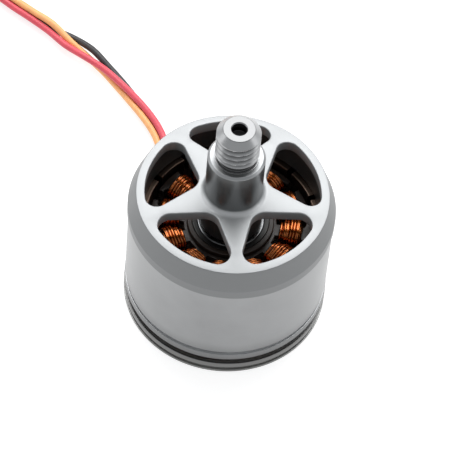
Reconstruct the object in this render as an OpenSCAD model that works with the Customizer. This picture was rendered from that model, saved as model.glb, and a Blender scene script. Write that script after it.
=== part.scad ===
// Brushless outrunner motor: a 28 mm bell with an M6 stud turns around a fixed 12-slot stator.
// Frame: origin at the centre of the base's bottom face, +Z up along the shaft, leads towards +Y.

/* [Bell] */
// Outer diameter of the bell's lip
bell_d = 28; // [27.9:0.05:28.2]
// Height of the bell's top face above the bottom of the base
body_h = 22.5; // [22.3:0.1:23]
// Height of the lip between the flux ring and the bevel
lip_h = 1.5; // [1.2:0.1:1.6]
// Height of the bevel between the lip and the top face
bevel_h = 2.9; // [2.6:0.1:3]
// How far the bevel leans in
bevel_w = 1.05; // [0.8:0.05:1.1]
// Thickness of the spoked top plate
plate_t = 1.6; // [1.3:0.1:1.8]
// How much higher the spokes stand than the top's outer edge
plate_rise = 0.6; // [0.4:0.05:0.8]
// Number of spokes, and so of windows
spoke_count = 5; // [4:1:5]
// Direction of the first spoke, in degrees
spoke_angle = -83; // [-180:0.5:180]
// Half width of a spoke at its narrow outer end
spoke_tip_half_w = 0.75; // [0.7:0.05:0.8]
// Half width of a spoke at its wide inner end
spoke_root_half_w = 2.1; // [2:0.05:2.2]
// Outer radius of the windows
window_r = 11.8; // [11.6:0.1:11.9]
// Diameter of the hub boss
hub_d = 7.7; // [7.5:0.1:7.8]
// Height of the hub boss's top above the bottom of the base
hub_top = 30.9; // [30:0.1:31]

/* [Stud and shaft] */
// Diameter over the stud's M6 thread
stud_d = 5.9; // [5.8:0.02:5.98]
// Height of the stud's tip above the bottom of the base
stud_top = 36.8; // [36:0.1:38]
// Diameter of the relief neck between the hub and the thread
neck_d = 5; // [4.8:0.1:5.2]
// Height of the relief neck
neck_h = 1.1; // [0.8:0.1:1.3]
// Diameter of the centre hole in the stud's tip
tip_hole_d = 2; // [1.9:0.1:2.3]
// Diameter of the shaft
shaft_d = 4; // [3.95:0.01:4]

/* [Rotor ring] */
// Thickness of the flux ring's wall
flux_wall = 1.15; // [1.1:0.05:1.2]
// Number of magnets
magnet_count = 14; // [14:2:14]
// Angle that one magnet spans, in degrees
magnet_arc = 21.5; // [20:0.5:23]
// Thickness of a magnet
magnet_t = 1.4; // [1.2:0.1:1.45]

/* [Stator] */
// Outer diameter of the stator stack
stator_d = 22; // [21.8:0.1:22.1]
// Number of teeth, and so of coils
tooth_count = 12; // [12:3:12]
// Direction of the first tooth, in degrees
tooth_angle = -4; // [-15:0.5:15]
// Width of a tooth
tooth_w = 1.9; // [1.7:0.1:1.9]
// Height of the stack of laminations
stack_h = 10; // [9.8:0.1:10]
// How far a coil stands above and below its end insulator
coil_overhang = 1.7; // [1:0.1:1.7]

/* [Base] */
// Height of the base's plate
base_h = 2; // [1.9:0.1:2]
// Gap between the base and the rotor
rotor_gap = 1; // [0.9:0.1:1.1]
// Distance between the two mounting holes along X
hole_span_x = 16; // [16:0.5:17]
// Distance between the two mounting holes along Y
hole_span_y = 19; // [18:0.5:19]
// Diameter of the mounting holes, tapped M3
mount_hole_d = 2.5; // [2.4:0.1:2.6]
// Width of the four arms that carry the mounting holes
arm_w = 4.8; // [4.6:0.1:4.8]

/* [Bearings] */
// Outer diameter of a bearing
bearing_d = 9; // [9:0.01:9.02]
// Width of a bearing
bearing_w = 4; // [3.9:0.1:4]
// Diameter of a ball
ball_d = 1.3; // [1.2:0.05:1.3]
// Number of balls in a bearing
ball_count = 8; // [6:1:9]

/* [Leads] */
// Diameter of one insulated lead
lead_d = 1; // [0.9:0.05:1]
// Distance between neighbouring leads where they leave the base
lead_pitch = 1.3; // [1.25:0.05:1.35]
// Mean radius of the coil that the spare lead is wound into
coil_r = 5.5; // [5.5:0.1:6]

/* [Hidden] */
$fn = 96;

// Heights, from the bottom of the base up
rotor_z = base_h + rotor_gap;
plate_z = body_h - plate_t;
bevel_z = body_h - bevel_h;
flux_top = bevel_z - lip_h;
spigot_h = 1.2;
spigot_z = flux_top - spigot_h;
clip_t = 0.5;
shim_t = 0.25;
clip_z = base_h - shim_t - clip_t;
lower_bearing_z = base_h;
insulator_t = 0.4;
stack_z = 5.2;
stack_top = stack_z + stack_h;
coil_z0 = stack_z - insulator_t - coil_overhang;
coil_z1 = stack_top + insulator_t + coil_overhang;
tube_top = 16.5;
upper_bearing_z = tube_top - bearing_w;
hub_under_z = tube_top + 0.5;
shaft_bottom = 0.5;
shaft_top = 25.2;

// Radii, from the shaft out
shaft_r = shaft_d / 2;
stud_r = stud_d / 2;
hub_r = hub_d / 2;
hub_fillet = 0.8;
hub_under_r = 4.2;
level_r = 9.5;
bearing_r = bearing_d / 2;
race_gap_r0 = 2.75;
race_gap_r1 = 3.75;
pitch_r = (race_gap_r0 + race_gap_r1) / 2;
ball_r = ball_d / 2;
groove_r = ball_r + 0.07;
race_end_r = 2.6;
land_r = bearing_r - 0.4;
tube_r = bearing_r + 0.7;
stack_seat_r = tube_r + 0.7;
yoke_r = 6.3;
stator_r = stator_d / 2;
shoe_t = 0.7;
slot_mouth = 1.6;
bell_r = bell_d / 2;
flux_r = bell_r - 0.15;
flux_in_r = flux_r - flux_wall;
groove_floor_r = bell_r - 0.6;
base_r = bell_r - 0.05;
cavity_r = window_r + 0.2;

// A washer or tube: inner radius, outer radius, bottom and top
module ring(r0, r1, z0, z1) {
    rotate_extrude() translate([r0, z0]) square([r1 - r0, z1 - z0]);
}

// ---- bell -------------------------------------------------------------------------------

function arc(c, r, a0, a1, steps) =
    [for (i = [0 : steps]) let (a = a0 + (a1 - a0) * i / steps) c + r * [cos(a), sin(a)]];

// A spoke narrows outwards in straight lines. Half width at distance x from the shaft:
spoke_x0 = 5;
spoke_x1 = 9.75;
spoke_taper = (spoke_root_half_w - spoke_tip_half_w) / (spoke_x1 - spoke_x0);
half_pitch = 180 / spoke_count;
edge_angle = half_pitch + atan(spoke_taper);
// Where the two edges of a window would meet, on the window's own middle line
axis_half_w = spoke_root_half_w + spoke_taper * spoke_x0;
apex_x = axis_half_w / (sin(half_pitch) + spoke_taper * cos(half_pitch));
apex_round = 2.1;
corner_round = 1.65;

// One window, with its middle line along +X: a rounded apex, two straight edges, an outer arc
module window_outline() {
    apex_c = [apex_x + apex_round / sin(edge_angle), 0];
    // The corner circle touches the window's outer arc and its straight edge
    along = apex_x * sin(edge_angle) + corner_round;
    corner_a = edge_angle - asin(along / (window_r - corner_round));
    corner_c = (window_r - corner_round) * [cos(corner_a), sin(corner_a)];
    polygon(concat(
        arc(apex_c, apex_round, 270 - edge_angle, 90 + edge_angle, 12),
        arc(corner_c, corner_round, 90 + edge_angle, corner_a, 8),
        arc([0, 0], window_r, corner_a, -corner_a, 24),
        arc([corner_c[0], -corner_c[1]], corner_round, -corner_a, -90 - edge_angle, 8)));
}

module bell() {
    foot_r = hub_r + hub_fillet;
    spoke_z = body_h + plate_rise;
    under_z = plate_z + plate_rise;
    color("silver") difference() {
        rotate_extrude() polygon(concat(
            [[shaft_r, hub_under_z], [hub_under_r, hub_under_z], [hub_under_r, under_z],
             [level_r, under_z], [cavity_r, plate_z], [cavity_r, spigot_z], [flux_in_r, spigot_z],
             [flux_in_r, flux_top], [bell_r, flux_top], [bell_r, bevel_z],
             [bell_r - bevel_w, body_h], [level_r, spoke_z]],
            arc([foot_r, spoke_z + hub_fillet], hub_fillet, 270, 180, 6),
            [[hub_r, hub_top - 0.3], [hub_r - 0.3, hub_top], [stud_r, hub_top],
             [stud_r, shaft_top], [shaft_r, shaft_top]]));
        for (k = [0 : spoke_count - 1])
            rotate(spoke_angle + half_pitch * (2 * k + 1))
                translate([0, 0, plate_z - 1])
                    linear_extrude(plate_t + plate_rise + 2) window_outline();
    }
}

// ---- stud, shaft and what is on it ------------------------------------------------------

tip_face_r = 2.1;
tip_chamfer_h = 0.9;
tip_hole_depth = 1.6;

module prop_stud() {
    thread_z = hub_top + neck_h;
    color("darkgray") difference() {
        rotate_extrude() polygon([
            [0, shaft_top], [stud_r, shaft_top], [stud_r, hub_top], [neck_d / 2, hub_top],
            [neck_d / 2, thread_z - 0.2], [stud_r, thread_z], [stud_r, stud_top - tip_chamfer_h],
            [tip_face_r, stud_top], [0, stud_top]]);
        translate([0, 0, stud_top - tip_hole_depth]) cylinder(d = tip_hole_d, h = 10);
    }
}

clip_seat_r = shaft_r - 0.3;

module rotor_shaft() {
    color("gainsboro") rotate_extrude() polygon([
        [0, shaft_bottom], [shaft_r - 0.3, shaft_bottom], [shaft_r, shaft_bottom + 0.3],
        [shaft_r, clip_z], [clip_seat_r, clip_z], [clip_seat_r, clip_z + clip_t],
        [shaft_r, clip_z + clip_t], [shaft_r, shaft_top], [0, shaft_top]]);
}

module shaft_spacer() {
    color("goldenrod") ring(shaft_r, race_end_r, tube_top, hub_under_z);
}

module shim_washer() {
    color("gainsboro") ring(shaft_r, race_end_r, clip_z + clip_t, lower_bearing_z);
}

// A snap ring that is open on one side
module retaining_clip() {
    clip_r = 3.1;
    color("dimgray") rotate(120) rotate_extrude(angle = 300)
        translate([clip_seat_r, clip_z]) square([clip_r - clip_seat_r, clip_t]);
}

// ---- bearings ---------------------------------------------------------------------------

shield_step_r = race_gap_r1 + 0.2;
shield_in_r = 2.85;
shield_t = 0.2;
shield_inset = 0.1;
shield_room = shield_inset + shield_t;
cage_r0 = pitch_r - 0.25;
cage_r1 = pitch_r + 0.25;
cage_h = 2;

// Both grooves are cut by the same ring, a little fatter than the balls
module ball_track(z) {
    rotate_extrude() translate([pitch_r, z + bearing_w / 2]) circle(groove_r);
}

module outer_race(z) {
    color("lightsteelblue") difference() {
        rotate_extrude() polygon([
            [shield_step_r, z], [bearing_r, z], [bearing_r, z + bearing_w],
            [shield_step_r, z + bearing_w], [shield_step_r, z + bearing_w - shield_room],
            [race_gap_r1, z + bearing_w - shield_room], [race_gap_r1, z + shield_room],
            [shield_step_r, z + shield_room]]);
        ball_track(z);
    }
}

module inner_race(z) {
    color("lightsteelblue") difference() {
        rotate_extrude() polygon([
            [shaft_r, z], [race_end_r, z], [race_end_r, z + shield_room],
            [race_gap_r0, z + shield_room + 0.2], [race_gap_r0, z + bearing_w - shield_room - 0.2],
            [race_end_r, z + bearing_w - shield_room], [race_end_r, z + bearing_w],
            [shaft_r, z + bearing_w]]);
        ball_track(z);
    }
}

module at_balls(z) {
    for (k = [0 : ball_count - 1])
        rotate(k * 360 / ball_count) translate([pitch_r, 0, z + bearing_w / 2]) children();
}

module balls(z) {
    color("white") at_balls(z) sphere(ball_r);
}

module cage(z) {
    z0 = z + (bearing_w - cage_h) / 2;
    color("peru") difference() {
        ring(cage_r0, cage_r1, z0, z0 + cage_h);
        at_balls(z) sphere(ball_r + 0.05);
    }
}

module shields(z) {
    color("slategray") for (z0 = [z + shield_inset, z + bearing_w - shield_room])
        ring(shield_in_r, shield_step_r, z0, z0 + shield_t);
}

// ---- rotor ring -------------------------------------------------------------------------

rim_h = 1.1;
rim_groove_h = 0.6;
magnet_z0 = rotor_z + 1.9;
magnet_z1 = spigot_z - 0.2;

module flux_ring() {
    rim_top = rotor_z + rim_h;
    can_z = rim_top + rim_groove_h;
    color("lightgray") rotate_extrude() polygon([
        [flux_in_r, rotor_z], [bell_r - 0.1, rotor_z], [bell_r - 0.1, rim_top],
        [groove_floor_r, rim_top], [groove_floor_r, can_z], [flux_r, can_z],
        [flux_r, flux_top], [flux_in_r, flux_top]]);
}

module rotor_magnets() {
    color("dimgray") for (k = [0 : magnet_count - 1])
        rotate(k * 360 / magnet_count) rotate_extrude(angle = magnet_arc)
            translate([flux_in_r - magnet_t, magnet_z0]) square([magnet_t, magnet_z1 - magnet_z0]);
}

// ---- stator -----------------------------------------------------------------------------

module at_teeth() {
    for (k = [0 : tooth_count - 1])
        rotate(tooth_angle + k * 360 / tooth_count) children();
}

// Yoke, teeth and shoes seen from above
module lamination_outline() {
    shoe_r = stator_r - shoe_t;
    difference() {
        union() {
            circle(yoke_r);
            at_teeth() translate([yoke_r - 1, -tooth_w / 2])
                square([stator_r - shoe_t / 2 - yoke_r + 1, tooth_w]);
            difference() {
                circle(stator_r);
                circle(shoe_r);
                rotate(180 / tooth_count) at_teeth()
                    translate([shoe_r - 1, -slot_mouth / 2]) square([shoe_t + 2, slot_mouth]);
            }
        }
        circle(tube_r);
    }
}

module stator_core() {
    color("steelblue") translate([0, 0, stack_z]) linear_extrude(stack_h) lamination_outline();
}

// Insulating end plate with a collar around the bearing tube, towards +Z or -Z
module end_insulator(z, up) {
    collar_h = 0.8;
    translate([0, 0, z]) mirror([0, 0, up ? 0 : 1]) {
        linear_extrude(insulator_t) lamination_outline();
        if (up) ring(tube_r, tube_r + 0.7, insulator_t, insulator_t + collar_h);
    }
}

module upper_insulator() {
    color("darkslategray") end_insulator(stack_top, true);
}

module lower_insulator() {
    color("darkslategray") end_insulator(stack_z, false);
}

coil_x0 = yoke_r + 0.1;
coil_x1 = 10;
coil_side_in = 0.68;
coil_side_out = 1.25;

// One coil on a tooth that points along +X
module tooth_coil() {
    half_in = tooth_w / 2 + coil_side_in;
    half_out = tooth_w / 2 + coil_side_out;
    difference() {
        translate([0, 0, coil_z0]) linear_extrude(coil_z1 - coil_z0) polygon([
            [coil_x0, -half_in], [coil_x1, -half_out], [coil_x1, half_out], [coil_x0, half_in]]);
        translate([coil_x0 - 1, -tooth_w / 2, stack_z - insulator_t])
            cube([coil_x1 - coil_x0 + 2, tooth_w, stack_h + 2 * insulator_t]);
    }
}

// A phase has two neighbouring teeth and the two across from them
module phase_coils(first) {
    color("chocolate") for (k = [first, first + 1, first + 6, first + 7])
        rotate(tooth_angle + k * 360 / tooth_count) tooth_coil();
}

// Sleeve over the joint where the three phases meet, lying under the coils
module star_point_joint() {
    color("black") rotate(225) translate([8.8, -1.6, 1.2]) rotate([-90, 0, 0]) cylinder(r = 0.9, h = 3.2);
}

// ---- base -------------------------------------------------------------------------------

base_window_r0 = 6.4;
base_window_r1 = 11.8;
rim_foot_h = 0.45;
base_groove_h = 0.6;
// The leads leave through a notch in the rim
exit_angle = 115;
notch_w = 4.3;
notch_z = 0.4;

module base() {
    groove_top = rim_foot_h + base_groove_h;
    color("gray") difference() {
        rotate_extrude() polygon([
            [bearing_r, 0], [base_r - 0.3, 0], [base_r, 0.2], [base_r, rim_foot_h],
            [groove_floor_r, rim_foot_h], [groove_floor_r, groove_top], [base_r, groove_top],
            [base_r, base_h], [stack_seat_r, base_h], [stack_seat_r, stack_z - insulator_t],
            [tube_r, stack_z - insulator_t], [tube_r, tube_top], [bearing_r, tube_top],
            [bearing_r, upper_bearing_z], [land_r, upper_bearing_z],
            [land_r, lower_bearing_z + bearing_w], [bearing_r, lower_bearing_z + bearing_w]]);
        translate([0, 0, -1]) linear_extrude(base_h + 2) difference() {
            circle(base_window_r1);
            circle(base_window_r0);
            square([40, arm_w], center = true);
            square([arm_w, 40], center = true);
        }
        for (x = [-1, 1]) translate([x * hole_span_x / 2, 0, -1])
            cylinder(d = mount_hole_d, h = base_h + 2);
        for (y = [-1, 1]) translate([0, y * hole_span_y / 2, -1])
            cylinder(d = mount_hole_d, h = base_h + 2);
        rotate(exit_angle) translate([base_window_r1 - 0.5, -notch_w / 2, notch_z])
            cube([5, notch_w, base_h]);
    }
}

// A soft block in the notch, with a hole for each lead
module lead_grommet() {
    hole_r = lead_d / 2 + 0.1;
    color("darkslategray") rotate(exit_angle) difference() {
        translate([base_window_r1 + 0.1, -notch_w / 2, notch_z])
            cube([2.1, notch_w, base_h - notch_z]);
        for (k = [-1 : 1]) translate([0, k * lead_pitch, lead_z]) rotate([0, 90, 0])
            cylinder(r = hole_r, h = 20);
    }
}

// ---- leads ------------------------------------------------------------------------------

// Middle line of the three leads, from their joints under the stator to the coil
lead_z = 1.1;
lead_route = [
    [-5, 8.8, 1.1], [-4.9, 10.5, 1.1], [-6.3, 13.6, 1.1], [-7.6, 16.4, 1.1], [-8.9, 19.2, 1.1],
    [-10.2, 22, 1.1], [-11.6, 24.8, 1.1], [-13.4, 27.5, 1.1], [-15.5, 30.2, 1.1],
    [-17.8, 32.8, 1.1], [-20.3, 35.3, 1.1], [-23, 37.6, 1.1], [-25.9, 39.8, 1.1],
    [-28.9, 41.9, 1.1], [-31.9, 44, 1.1], [-34.8, 45.9, 1.1], [-37.4, 48, 1.1],
    [-39, 50.8, 1.2], [-39.5, 53, 1.4]];
// Middle line from the coil down to the bullet plugs, which lie side by side
tail_route = [
    [-34, 62.5, 5.9], [-31, 62.5, 5.8], [-28, 62.6, 5], [-25, 62.8, 3.5], [-22, 63, 2.1],
    [-19.6, 63, 1.5], [-19, 63, 1.5]];
bundle_r = 0.61;
plug_pitch = 3.4;
// How yellow, red and black lie around the middle line of each route, by route point: the angle
// (0 is left of the way they run, 90 is up, 180 is right) and the distance from the middle line
lead_angle = [
    [[0, 0], [3, 0], [6, 5], [7, 5], [8, -20], [10, -75], [11, -95], [12, -270], [13, -245],
     [14, -240]],
    [[0, 90], [3, 90], [6, 125], [7, 125], [8, 100], [10, 55], [11, 25], [12, 10], [13, 0]],
    [[0, 180], [3, 180], [6, 245], [7, 245], [8, 220], [10, 175], [11, 165], [12, 199], [13, 232],
     [14, 240]]];
lead_offset = [
    [[0, 1.5], [1, lead_pitch], [2, lead_pitch], [5, 0.8], [6, bundle_r], [10, bundle_r],
     [11, 0.6], [12, 0.1], [13, 0.82], [14, bundle_r]],
    [[2, 0], [6, bundle_r], [10, bundle_r], [11, 0.85], [12, 1.07], [13, bundle_r]],
    [[0, 1.5], [1, lead_pitch], [2, lead_pitch], [5, 0.8], [6, bundle_r], [9, bundle_r],
     [10, 0.7], [11, 1.06], [12, 1.12], [13, 0.74], [14, bundle_r]]];
tail_angle = [[[0, 120], [2, 90]], [[0, 0]], [[0, 240], [2, 180]]];
fan_out = [[0, bundle_r], [1, 0.8], [2, 1.3], [3, 2.4], [4, 3.2], [5, plug_pitch]];
tail_offset = [[[0, bundle_r], [1, 0.55], [2, 0.3], [3, 0]], fan_out, fan_out];

function unit(v) = v / norm(v);
function heading(route, i) = let (n = len(route) - 1)
    unit(route[min(i + 1, n)] - route[max(i - 1, 0)]);
// Point i of lead k, where k is 0 for yellow, 1 for red and 2 for black
function lead_point(route, angle, offset, k, i) = let (
    h = heading(route, i),
    left = unit([-h[1], h[0], 0]),
    a = lookup(i, angle[k]),
    r = lookup(i, offset[k]))
    route[i] + r * cos(a) * left + [0, 0, r * sin(a)];
function lead_path(k) =
    [for (i = [0 : len(lead_route) - 1]) lead_point(lead_route, lead_angle, lead_offset, k, i)];
function tail_path(k) =
    [for (i = [0 : len(tail_route) - 1]) lead_point(tail_route, tail_angle, tail_offset, k, i)];

// Tube with eight sides swept along a path
module tube(path, d) {
    sides = 8;
    n = len(path);
    points = [for (i = [0 : n - 1]) let (
        t = heading(path, i),
        s = unit(cross([0, 0, 1], t)),
        u = cross(t, s))
        for (j = [0 : sides - 1]) path[i] + d / 2 * (cos(j * 45) * s + sin(j * 45) * u)];
    walls = [for (i = [0 : n - 2]) for (j = [0 : sides - 1])
        let (a = i * sides + j, b = i * sides + (j + 1) % sides)
        each [[a, a + sides, b + sides], [a, b + sides, b]]];
    first = [for (j = [0 : sides - 1]) j];
    last = [for (j = [sides - 1 : -1 : 0]) (n - 1) * sides + j];
    polyhedron(points, concat(walls, [first, last]));
}

lead_colours = ["gold", "crimson", "black"];

module lead(k) {
    color(lead_colours[k]) tube(lead_path(k), lead_d);
}

module lead_tail(k) {
    color(lead_colours[k]) tube(tail_path(k), lead_d);
}

joint_r = 0.7;
joint_l = 2;

// Sleeve over the soldered joint behind the start of a lead
module lead_joint(k) {
    path = lead_path(k);
    h = heading(path, 0);
    color("black") translate(path[0]) rotate([0, 0, atan2(h[1], h[0])]) rotate([0, -90, 0])
        cylinder(r = joint_r, h = joint_l);
}

coil_c = [-34, 57];
layer_h = 2.2;
coil_lift = 0.35;
coil_half_w = 1.1;

// Section of the coil between two heights, with its corners cut
module coil_section(z0, z1) {
    c = 0.4;
    r0 = coil_r - coil_half_w;
    r1 = coil_r + coil_half_w;
    polygon([[r0, z0 + c], [r0 + c, z0], [r1 - c, z0], [r1, z0 + c],
        [r1, z1 - c], [r1 - c, z1], [r0 + c, z1], [r0, z1 - c]]);
}

// Two full layers and a quarter of a third
module lead_coil() {
    color("crimson") translate([coil_c[0], coil_c[1], coil_lift]) {
        rotate_extrude() coil_section(0, 2 * layer_h);
        rotate(90) rotate_extrude(angle = 90) coil_section(layer_h, 3 * layer_h);
    }
}

// A flat band around the stack of turns, across the start of the third layer
module lead_tie() {
    band_w = 1.6;
    band_t = 0.3;
    gap = 0.02;
    half_w = coil_half_w + gap;
    z0 = coil_lift - gap;
    z1 = coil_lift + 3 * layer_h + gap;
    band_angle = band_w / coil_r * 180 / PI;
    color("black") translate([coil_c[0], coil_c[1], 0]) rotate(135 - band_angle / 2)
        rotate_extrude(angle = band_angle) difference() {
            translate([coil_r - half_w - band_t, z0 - band_t])
                square([2 * (half_w + band_t), z1 - z0 + 2 * band_t]);
            translate([coil_r - half_w, z0]) square([2 * half_w, z1 - z0]);
        }
}

shrink_d = 2.8;
shrink_l = 8;
cup_d = 2.2;
cup_l = 3;
pin_d = 2;
pin_l = 6;

// Where a tail ends: the plug lies along +X from there
module at_plug(k) {
    path = tail_path(k);
    translate(path[len(path) - 1]) rotate([0, 90, 0]) children();
}

module heat_shrink(k) {
    color(lead_colours[k]) at_plug(k) difference() {
        cylinder(d = shrink_d, h = shrink_l);
        translate([0, 0, shrink_l - cup_l]) cylinder(d = cup_d, h = cup_l + 1);
    }
}

module bullet_plug(k) {
    collar_h = 0.8;
    color("gold") at_plug(k) translate([0, 0, shrink_l - cup_l]) rotate_extrude() polygon([
        [0, 0], [cup_d / 2, 0], [cup_d / 2, cup_l], [cup_d / 2 + 0.1, cup_l],
        [cup_d / 2 + 0.1, cup_l + collar_h], [pin_d / 2 - 0.2, cup_l + collar_h + 0.2],
        [pin_d / 2, cup_l + collar_h + 1.2], [pin_d / 2, cup_l + pin_l - 1.2],
        [pin_d / 2 - 0.4, cup_l + pin_l], [0, cup_l + pin_l]]);
}

// ---- parts ------------------------------------------------------------------------------

base();
stator_core();
upper_insulator();
lower_insulator();
phase_coils(0);  // phase_a_coils
phase_coils(2);  // phase_b_coils
phase_coils(4);  // phase_c_coils
star_point_joint();
outer_race(upper_bearing_z);  // upper_bearing_outer_race
inner_race(upper_bearing_z);  // upper_bearing_inner_race
balls(upper_bearing_z);  // upper_bearing_balls
cage(upper_bearing_z);  // upper_bearing_cage
shields(upper_bearing_z);  // upper_bearing_shields
outer_race(lower_bearing_z);  // lower_bearing_outer_race
inner_race(lower_bearing_z);  // lower_bearing_inner_race
balls(lower_bearing_z);  // lower_bearing_balls
cage(lower_bearing_z);  // lower_bearing_cage
shields(lower_bearing_z);  // lower_bearing_shields
bell();
prop_stud();
flux_ring();
rotor_magnets();
rotor_shaft();
shaft_spacer();
shim_washer();
retaining_clip();
lead_grommet();
lead_joint(0);  // yellow_lead_joint
lead_joint(1);  // red_lead_joint
lead_joint(2);  // black_lead_joint
lead(0);  // yellow_lead
lead(1);  // red_lead
lead(2);  // black_lead
lead_coil();
lead_tie();
lead_tail(0);  // yellow_lead_tail
lead_tail(1);  // red_lead_tail
lead_tail(2);  // black_lead_tail
heat_shrink(0);  // yellow_heat_shrink
heat_shrink(1);  // red_heat_shrink
heat_shrink(2);  // black_heat_shrink
bullet_plug(0);  // yellow_bullet_plug
bullet_plug(1);  // red_bullet_plug
bullet_plug(2);  // black_bullet_plug
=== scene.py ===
"""Looks of a brushless outrunner motor: a 28 mm bell with an M6 stud on a 12-slot stator.

Everything is in metres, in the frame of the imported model: origin at the centre of the base's
bottom face, +Z up along the shaft, leads towards +Y.
"""
import math

import bmesh
import bpy
from mathutils import Matrix, Vector


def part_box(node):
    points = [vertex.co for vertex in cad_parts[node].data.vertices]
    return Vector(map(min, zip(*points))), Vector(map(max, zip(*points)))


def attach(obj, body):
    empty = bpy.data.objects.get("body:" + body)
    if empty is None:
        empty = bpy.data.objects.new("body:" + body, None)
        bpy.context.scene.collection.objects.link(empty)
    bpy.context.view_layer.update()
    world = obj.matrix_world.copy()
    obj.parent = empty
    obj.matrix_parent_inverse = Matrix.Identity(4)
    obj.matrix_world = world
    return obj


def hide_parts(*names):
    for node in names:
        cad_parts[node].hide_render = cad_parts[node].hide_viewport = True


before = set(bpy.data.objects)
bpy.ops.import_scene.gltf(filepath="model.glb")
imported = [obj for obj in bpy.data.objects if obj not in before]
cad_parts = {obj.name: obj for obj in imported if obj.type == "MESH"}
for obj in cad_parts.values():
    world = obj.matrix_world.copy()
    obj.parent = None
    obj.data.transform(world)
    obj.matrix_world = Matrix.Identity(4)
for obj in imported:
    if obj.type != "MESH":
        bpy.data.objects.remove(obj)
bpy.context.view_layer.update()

TAU = 2 * math.pi
MERGE_DISTANCE = 1e-8


def low(node):
    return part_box(node)[0]


def high(node):
    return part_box(node)[1]


def new_object(name, data):
    made = bpy.data.objects.new(name, data)
    bpy.context.scene.collection.objects.link(made)
    return made


def mesh_object(name, bm):
    """An object that takes over the mesh."""
    mesh = bpy.data.meshes.new(name)
    bm.to_mesh(mesh)
    bm.free()
    return new_object(name, mesh)


# ---- sizes ----

# Bell
BELL_R = high("bell").x
HUB_TOP = high("bell").z
SPIGOT_Z = low("bell").z
TOP_Z = 0.0225
PLATE_Z = 0.0209
PLATE_RISE = 0.0006
LEVEL_R = 0.0095
BEVEL_Z = 0.0196
BEVEL_W = 0.00105
TOP_R = BELL_R - BEVEL_W
LIP_Z = high("flux_ring").z
CAVITY_R = 0.012
HUB_R = 0.00385
HUB_UNDER_R = 0.0042
HUB_UNDER_Z = high("shaft_spacer").z
HUB_FILLET = 0.0008
SPOKE_COUNT = 5
SPOKE_ANGLE = math.radians(-83)
SPOKE_X = (0.005, 0.00975)
SPOKE_HALF_W = (0.0021, 0.00075)
WINDOW_R = 0.0118
APEX_ROUND = 0.0021
CORNER_ROUND = 0.00165
WINDOW_EDGE = 0.00015

# Stud and shaft
STUD_R = high("prop_stud").x
STUD_TOP = high("prop_stud").z
STUD_LOW = low("prop_stud").z
NECK_R = 0.0025
NECK_H = 0.0011
THREAD_PITCH = 0.001
THREAD_DEPTH = 0.00042
TIP_CHAMFER = 0.0009
TIP_FACE_R = 0.0021
TIP_HOLE_R = 0.001
TIP_HOLE_DEPTH = 0.0016
SHAFT_R = 0.002
CLIP_GROOVE_R = 0.0017

# Rotor ring
RING_R = high("flux_ring").x
RING_IN_R = 0.0127
CAN_R = 0.01385
RING_Z = low("flux_ring").z
RIM_H = 0.0011
GROOVE_R = 0.0134
GROOVE_H = 0.0006
MAGNET_R = 0.0113
MAGNET_COUNT = 14
MAGNET_ARC = math.radians(21.5)
MAGNET_EDGE = 0.00018

# Stator
STATOR_R = high("stator_core").x
STACK_Z = low("stator_core").z
STACK_TOP = high("stator_core").z
TUBE_R = 0.0052
YOKE_R = 0.0063
TOOTH_COUNT = 12
TOOTH_ANGLE = math.radians(-4)
TOOTH_HALF_W = 0.00095
SHOE_T = 0.0007
SLOT_HALF_MOUTH = 0.0008
INSULATOR_T = 0.0004
COLLAR_TOP = 0.0164
WIRE_R = 0.00019
WIRE_PITCH = 0.0004
# Layers of turns on a tooth: half width, middle of the first turn, way, turns and crown height
WIRE_LAYERS = [
    (0.00125, 0.0067, 1, 8, 0.00098), (0.0016, 0.0097, -1, 7, 0.0014),
    (0.00195, 0.0081, 1, 4, 0.0018)]
STAR_ANGLE = math.radians(225)

# Base
BASE_R = high("base").x
BASE_H = 0.002
BASE_TOP = high("base").z
BASE_GROOVE_Z = (0.00045, 0.00105)
SEAT_R = 0.0059
BEARING_R = 0.0045
BEARING_W = 0.004
LAND_R = 0.0041
BASE_WINDOW_R = (0.0064, 0.0118)
ARM_HALF_W = 0.0024
HOLE_PLACES = [(-0.008, 0), (0.008, 0), (0, -0.0095), (0, 0.0095)]
HOLE_R = 0.00125
HOLE_PITCH = 0.0005
HOLE_THREAD_DEPTH = 0.00016
EXIT_ANGLE = math.radians(115)
NOTCH_X = (0.0113, 0.0163)
NOTCH_HALF_W = 0.00215
NOTCH_Z = (0.0004, 0.004)
GROMMET_X = (0.0119, 0.014)
GROMMET_HALF_W = 0.0021
GROMMET_Z = (0.00042, 0.00198)

# Leads
COLOURS = ("yellow", "red", "black")
LEAD_R = 0.0005
LEAD_PITCH = 0.0013
JOINT_R = 0.0007
JOINT_L = 0.002
BUNDLE_R = 0.00061
PLUG_PITCH = 0.0034
COIL_C = Vector((-0.034, 0.057, 0))
COIL_R = 0.0055
LAYER_Z = (0.00145, 0.00365, 0.00585)
LAYER_H = 0.0022
COIL_TURNS = 2.25
COIL_POINTS_PER_TURN = 16
TIE_ANGLE = math.radians(135)
TIE_HALF_W = 0.00142
LEAD_Z = 0.0011
LEAD_ROUTE = [(x, y, LEAD_Z) for x, y in (
    (-0.005, 0.0088), (-0.0049, 0.0105), (-0.0063, 0.0136), (-0.0076, 0.0164),
    (-0.0089, 0.0192), (-0.0102, 0.022), (-0.0116, 0.0248), (-0.0134, 0.0275),
    (-0.0155, 0.0302), (-0.0178, 0.0328), (-0.0203, 0.0353), (-0.023, 0.0376),
    (-0.0259, 0.0398), (-0.0289, 0.0419), (-0.0319, 0.044), (-0.0348, 0.0459),
    (-0.0374, 0.048))]
LEAD_ROUTE += [(-0.039, 0.0508, 0.0012), (-0.0395, 0.053, 0.0014)]
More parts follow.
